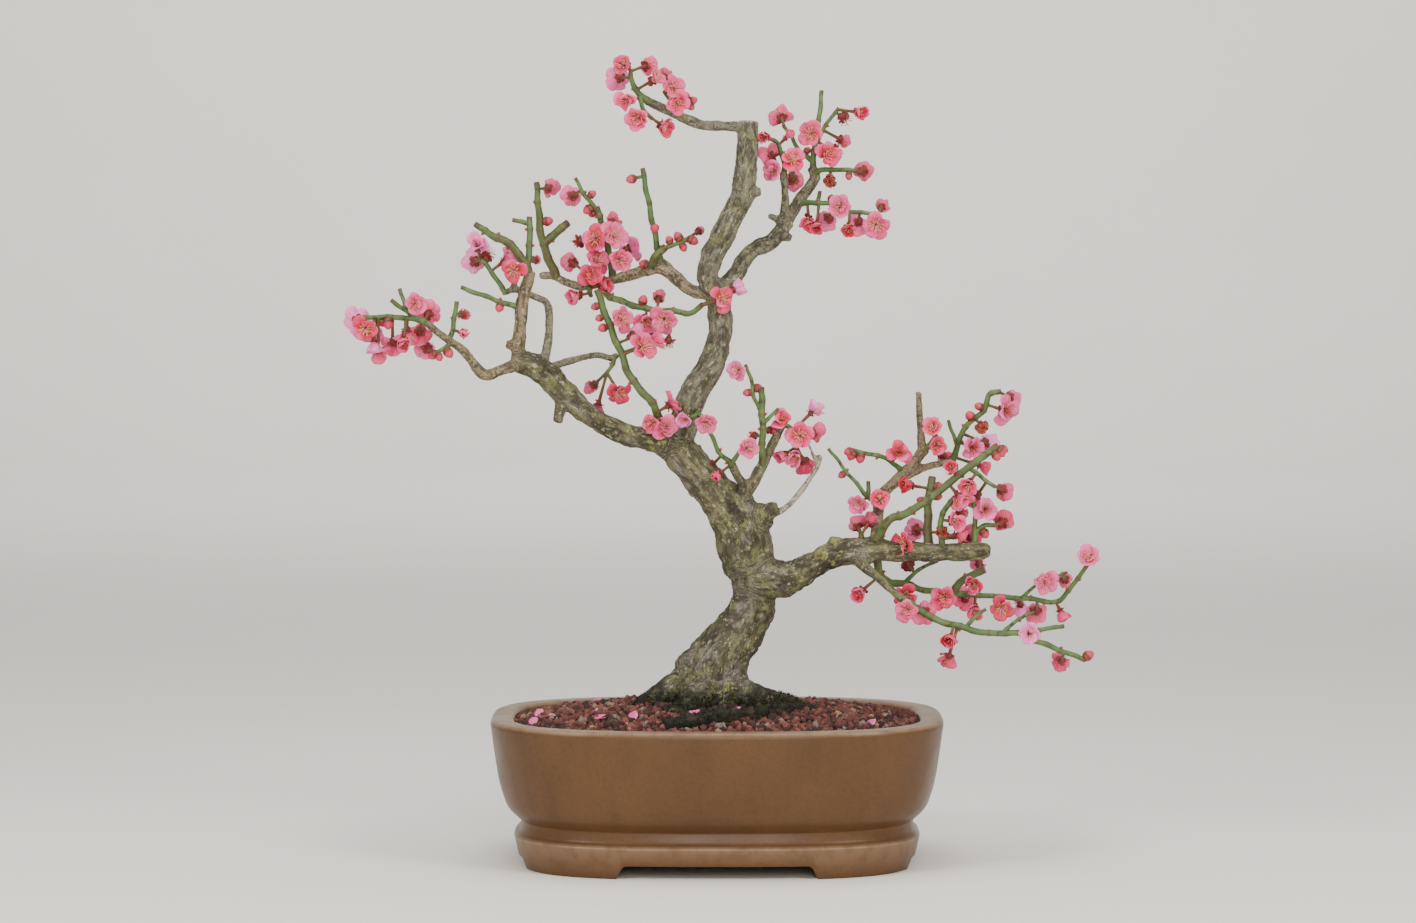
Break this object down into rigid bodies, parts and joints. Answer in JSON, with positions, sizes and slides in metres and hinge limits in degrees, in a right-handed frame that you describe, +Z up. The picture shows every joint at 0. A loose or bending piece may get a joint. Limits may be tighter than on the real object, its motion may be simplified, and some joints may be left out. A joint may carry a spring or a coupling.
{
  "type": "japanese apricot bonsai in pot",
  "caption": "Old leaning bonsai tree in pink flower with pruned limbs and green shoots, planted in red gravel in a low rounded brown glazed pot with corner feet.",
  "frame": {"origin": "centre of the bounding box in plan, at the underside of the pot feet", "axes": "+Z up, +X to the right as seen from the front, front of the pot towards -Y"},
  "size_m": [0.5282, 0.227, 0.5652],
  "materials": {
    "glaze": "semi-gloss brown glaze",
    "gravel": "matt porous gravel",
    "screen": "matt black mesh",
    "bark": "rough mottled bark",
    "blossom_spray": "matt silky petals"
  },
  "bodies": {
    "root": {"drain_screen_left": "screen", "drain_screen_right": "screen", "pot": "glaze", "soil": "gravel", "spray_centre_bridge": "blossom_spray", "spray_cluster_side": "blossom_spray", "spray_cluster_upright": "blossom_spray", "spray_crown_left_mid": "blossom_spray", "spray_crown_left_tip": "blossom_spray", "spray_crown_right_inner": "blossom_spray", "spray_crown_right_low": "blossom_spray", "spray_crown_right_side": "blossom_spray", "spray_crown_right_tips": "blossom_spray", "spray_elbow_left": "blossom_spray", "spray_elbow_right": "blossom_spray", "spray_elbow_upright": "blossom_spray", "spray_far_left_low": "blossom_spray", "spray_far_left_mid": "blossom_spray", "spray_far_left_tip": "blossom_spray", "spray_fork_right": "blossom_spray", "spray_front_riser": "blossom_spray", "spray_left_elbow": "blossom_spray", "spray_left_inner": "blossom_spray", "spray_left_inner_low": "blossom_spray", "spray_left_inner_under": "blossom_spray", "spray_left_limb_low": "blossom_spray", "spray_left_rear": "blossom_spray", "spray_left_stub_low": "blossom_spray", "spray_left_stub_top": "blossom_spray", "spray_limb_forked": "blossom_spray", "spray_limb_front": "blossom_spray", "spray_limb_tip": "blossom_spray", "spray_limb_top": "blossom_spray", "spray_limb_upright": "blossom_spray", "spray_low_right_front": "blossom_spray", "spray_low_right_inner": "blossom_spray", "spray_low_right_outer": "blossom_spray", "spray_riser_left": "blossom_spray", "spray_riser_low": "blossom_spray", "spray_riser_right": "blossom_spray", "spray_riser_tip": "blossom_spray", "trunk": "bark"}
  },
  "joints": []
}
